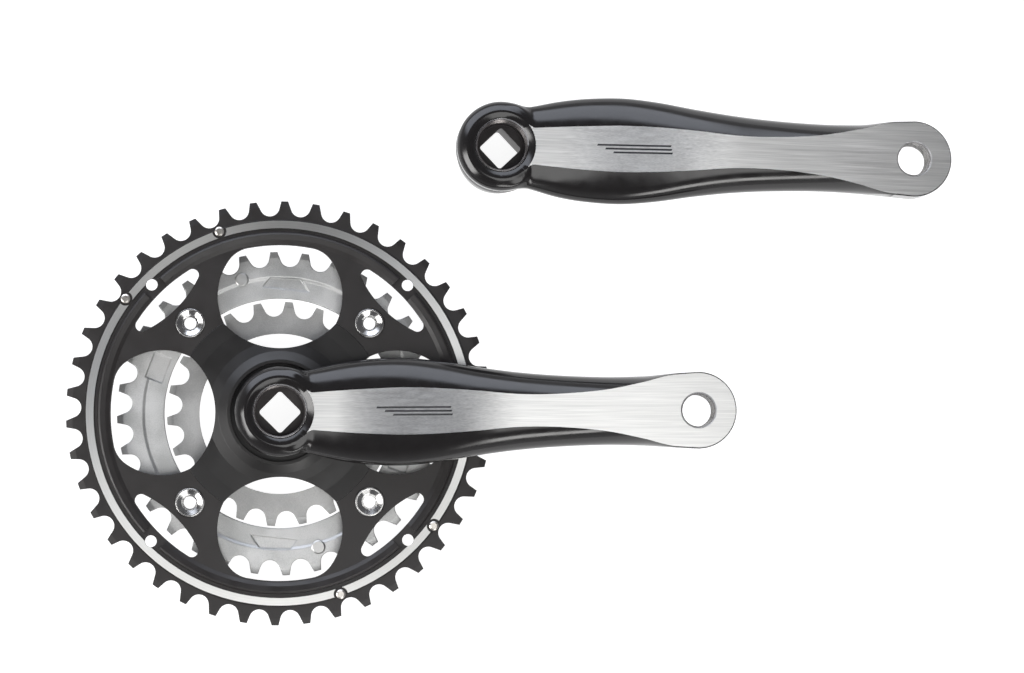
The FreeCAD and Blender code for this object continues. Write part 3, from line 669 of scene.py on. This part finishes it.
def sharpen_borders(mesh):
    """A crisp edge wherever two materials meet."""
    work = bmesh.new()
    work.from_mesh(mesh)
    for edge in work.edges:
        if len({face.material_index for face in edge.link_faces}) > 1:
            edge.smooth = False
    work.to_mesh(mesh)
    work.free()


def make_arm(node, boss, hub, turn, body):
    """Machined and painted arm: smooth forging, milled face, bores and square socket."""
    face = brushed_face(node + "_face", hub, turn)
    arm = forging(node + "_forged")
    low = bottom_level(CRANK)
    high = face_level(CRANK)
    combine(arm, lathe("boss", [(0.0, 0.0)] + boss + [(0.0, BOSS_TOP)], paint), "UNION")
    combine(arm, mill_cutter(face), "DIFFERENCE")
    lip = [
        (0.0, LIP_LEVEL), (10.95, LIP_LEVEL), (11.25, 32.5), (13.9, FACE_LEVEL), (22.0, 36.6), (0.0, 60.0),
    ]
    combine(arm, lathe("lip", lip, paint), "DIFFERENCE")
    recess = [
        (0.0, SOCKET_DEPTH), (RELIEF_RADIUS, SOCKET_DEPTH), (RELIEF_RADIUS, RELIEF_TOP),
        (RECESS_RADIUS, RELIEF_TOP), (RECESS_RADIUS, RECESS_TOP), (0.0, RECESS_TOP),
    ]
    combine(arm, lathe("recess", recess, socket_metal_painted_shade), "DIFFERENCE")
    rim = [(0.0, RIM_LOW), (10.7, RIM_LOW), (11.3, RIM_TOP), (0.0, RIM_TOP)]
    combine(arm, lathe("rim", rim, bore_metal), "DIFFERENCE")
    combine(arm, socket_cutter(socket_metal_painted_shade), "DIFFERENCE")
    bore = [
        (0.0, low - CUT_OVER), (PEDAL_MOUTH, low - CUT_OVER), (PEDAL_BORE, low + PEDAL_CHAMFER),
        (PEDAL_BORE, high - PEDAL_CHAMFER), (PEDAL_MOUTH, high + CUT_OVER), (0.0, high + CUT_OVER),
    ]
    combine(arm, lathe("bore", bore, bore_metal, CRANK), "DIFFERENCE")
    place = Matrix.Translation(hub) @ Matrix.Rotation(turn, 4, "Z") @ Matrix.Scale(MM, 4)
    arm.data.transform(place)
    arm.data.polygons.foreach_set("use_smooth", [True] * len(arm.data.polygons))
    arm.data.set_sharp_from_angle(angle=math.radians(28.0))
    sharpen_borders(arm.data)
    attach(arm, body)
    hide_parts(node)


make_arm("right_crank_arm", RIGHT_BOSS, drive_hub, 0.0, "drive_side")
make_arm("left_crank_arm", LEFT_BOSS, left_hub, LEFT_TURN, "left_arm")


# ---- cut threads ----


# A thread's ridge in section: inward reach as a share of its depth, rise as a share of its pitch.
THREAD_RIDGE = ((0.0, -0.45), (-1.0, -0.08), (-1.0, 0.08), (0.0, 0.45))
THREAD_SEGMENTS = 72
THREAD_FADE = 12


def thread_mesh(name, radius, length, pitch, depth):
    """A helical ridge that stands in from a bore's wall, closed on itself, centred on Z."""
    turns = int(length / pitch)
    count = turns * THREAD_SEGMENTS
    vertices, faces = [], []
    for i in range(count + 1):
        angle = 2 * math.pi * i / THREAD_SEGMENTS
        level = -length / 2 + pitch / 2 + (length - pitch) * i / count
        fade = min(1.0, i / THREAD_FADE, (count - i) / THREAD_FADE)
        for inward, rise in THREAD_RIDGE:
            reach = radius + inward * depth * fade
            vertices.append((reach * math.cos(angle), reach * math.sin(angle), level + rise * pitch))
    size = len(THREAD_RIDGE)
    for i in range(count):
        for j in range(size):
            k = (j + 1) % size
            near, far = i * size, (i + 1) * size
            faces.append((near + j, near + k, far + k, far + j))
    faces.append(tuple(range(size)))
    faces.append(tuple(count * size + j for j in reversed(range(size))))
    mesh = bpy.data.meshes.new(name)
    mesh.from_pydata(vertices, [], faces)
    mesh.validate()
    piece = bpy.data.objects.new(name, mesh)
    bpy.context.scene.collection.objects.link(piece)
    return piece


def thread_finish(name, dark, light):
    """Cut metal inside a thread, in the colours given; the darker copy for the extractor threads is painted
    shade.
    """
    nodes = Nodes(name)
    place = nodes.add("TexCoord").outputs["Object"]
    stains = nodes.noise(place, 400.0, 3.0)
    return nodes.finish(nodes.surface(
        Base_Color=nodes.mix(stains, dark, light),
        Metallic=1.0,
        Roughness=nodes.ramp(stains, 0.3, 0.7, 0.22, 0.34),
    ))


# The extractor threads are coloured darker than the pedal threads as painted shade of the deep hub recess.
thread_painted_shade = thread_finish("thread_painted_shade", colour(0.11, 0.10, 0.10), colour(0.19, 0.18, 0.175))
bright_thread = thread_finish("bright_thread", colour(0.42, 0.41, 0.40), colour(0.62, 0.61, 0.60))

# Each thread's body, its pitch and depth in millimetres, and its finish.
THREADS = {
    "drive_extractor_thread": ("drive_side", 1.0, 0.5, thread_painted_shade),
    "left_extractor_thread": ("left_arm", 1.0, 0.5, thread_painted_shade),
    "drive_pedal_thread": ("drive_side", 1.27, 0.45, bright_thread),
    "left_pedal_thread": ("left_arm", 1.27, 0.45, bright_thread),
}
for mount_name, (body, pitch, depth, thread_material) in THREADS.items():
    mount = mounts[mount_name]
    length = mount["dims"]["length_mm"] * MM
    radius = mount["dims"]["r_mm"] * MM
    piece = thread_mesh(mount_name + "_cut", radius, length, pitch * MM, depth * MM)
    piece.location = Vector(mount["pos_m"])
    piece.data.materials.append(thread_material)
    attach(piece, body)


# ---- studio ----


TARGET = (0.09, 0.016, 0.02)


def make_floor():
    """A pale table, evenly lit, under the whole object."""
    low = cad_box[0].z
    mesh = bpy.data.meshes.new("floor")
    half = 4.0
    mesh.from_pydata([(-half, -half, low), (half, -half, low), (half, half, low), (-half, half, low)],
                     [], [(0, 1, 2, 3)])
    floor = bpy.data.objects.new("floor", mesh)
    bpy.context.scene.collection.objects.link(floor)
    nodes = Nodes("white_table")
    place = nodes.add("TexCoord").outputs["Object"]
    tone = nodes.mix(nodes.noise(place, 3.0), colour(0.36, 0.36, 0.36), colour(0.38, 0.38, 0.38))
    shader = nodes.surface(Base_Color=tone, Roughness=0.9, Emission_Color=colour(1.0, 1.0, 1.0),
                           Emission_Strength=0.92)
    mesh.materials.append(nodes.finish(shader))


def make_world():
    """Pale at the horizon, darker overhead."""
    world = bpy.data.worlds.new("studio")
    bpy.context.scene.world = world
    world.use_nodes = True
    tree = world.node_tree
    background = tree.nodes["Background"]
    place = tree.nodes.new("ShaderNodeTexCoord")
    split = tree.nodes.new("ShaderNodeSeparateXYZ")
    ramp = tree.nodes.new("ShaderNodeValToRGB")
    tree.links.new(place.outputs["Generated"], split.inputs[0])
    tree.links.new(split.outputs[2], ramp.inputs[0])
    tree.links.new(ramp.outputs[0], background.inputs[0])
    ramp.color_ramp.elements[0].position = 0.0
    ramp.color_ramp.elements[0].color = colour(0.75, 0.75, 0.77)
    ramp.color_ramp.elements[1].position = 0.7
    ramp.color_ramp.elements[1].color = colour(0.10, 0.10, 0.105)
    background.inputs[1].default_value = 1.0


def rim_fade(tree, place, axis, soft):
    """1 in the middle of a lamp's width or height, easing to 0 at its rim."""
    centred = tree.nodes.new("ShaderNodeMath")
    centred.operation = "SUBTRACT"
    centred.inputs[1].default_value = 0.5
    tree.links.new(place.outputs[axis], centred.inputs[0])
    reach = tree.nodes.new("ShaderNodeMath")
    reach.operation = "ABSOLUTE"
    tree.links.new(centred.outputs[0], reach.inputs[0])
    fade = tree.nodes.new("ShaderNodeMapRange")
    fade.interpolation_type = "SMOOTHSTEP"
    fade.inputs["From Min"].default_value = 0.5
    fade.inputs["From Max"].default_value = 0.5 - soft
    tree.links.new(reach.outputs[0], fade.inputs["Value"])
    return fade.outputs[0]


def make_softbox(name, place, size, radiance, tint, soft=(0.2, 0.2)):
    """A panel facing the middle of the object, dimmer towards its rim; place and size in metres."""
    light = bpy.data.lights.new(name, "AREA")
    light.shape = "RECTANGLE"
    light.size, light.size_y = size
    light.energy = radiance * math.pi * size[0] * size[1]
    light.color = tint
    light.use_nodes = True
    tree = light.node_tree
    emission = next(node for node in tree.nodes if node.type == "EMISSION")
    geometry = tree.nodes.new("ShaderNodeNewGeometry")
    split = tree.nodes.new("ShaderNodeSeparateXYZ")
    tree.links.new(geometry.outputs["Parametric"], split.inputs[0])
    product = tree.nodes.new("ShaderNodeMath")
    product.operation = "MULTIPLY"
    for axis in range(2):
        tree.links.new(rim_fade(tree, split, axis, soft[axis]), product.inputs[axis])
    tree.links.new(product.outputs[0], emission.inputs["Strength"])
    lamp = bpy.data.objects.new(name, light)
    bpy.context.scene.collection.objects.link(lamp)
    lamp.location = place
    lamp.rotation_euler = (Vector(place) - Vector(TARGET)).to_track_quat("Z", "Y").to_euler()
    lamp.visible_camera = False


def aimed(azimuth, tilt, distance):
    """A point at an azimuth from +X, tilt degrees from overhead, seen from the object's middle."""
    turn, lean = math.radians(azimuth), math.radians(tilt)
    away = Vector((math.cos(turn) * math.sin(lean), math.sin(turn) * math.sin(lean), math.cos(lean)))
    return tuple(Vector(TARGET) + away * distance)


def make_camera():
    camera = bpy.data.cameras.new("camera")
    camera.lens = 100.9
    camera.sensor_width = 36.0
    camera.clip_start = 0.05
    camera.clip_end = 20.0
    eye = bpy.data.objects.new("camera", camera)
    bpy.context.scene.collection.objects.link(eye)
    eye.location = (2.4 * MM, -36.7 * MM, 1200.0 * MM)
    eye.rotation_euler = (math.radians(3.3), math.radians(-4.5), math.radians(-0.21))
    bpy.context.scene.camera = eye


make_floor()
make_world()
make_softbox(
    "softbox_back", place=aimed(107.0, 56.0, 1.3), size=(2.0, 0.85), radiance=3.4, tint=(0.84, 0.89, 1.0))
make_softbox(
    "softbox_overhead", place=(0.26, -0.50, 1.37), size=(0.70, 1.20), radiance=2.9, tint=(1.0, 1.0, 0.99),
    soft=(0.14, 0.2))
make_softbox(
    "softbox_left", place=aimed(198.0, 48.0, 1.1), size=(0.75, 0.42), radiance=9.0, tint=(1.0, 0.99, 0.98))
make_softbox(
    "strip_front", place=aimed(284.0, 62.0, 1.1), size=(0.55, 0.24), radiance=7.5, tint=(1.0, 0.99, 0.97))
make_camera()
bpy.context.scene.view_settings.view_transform = "Standard"
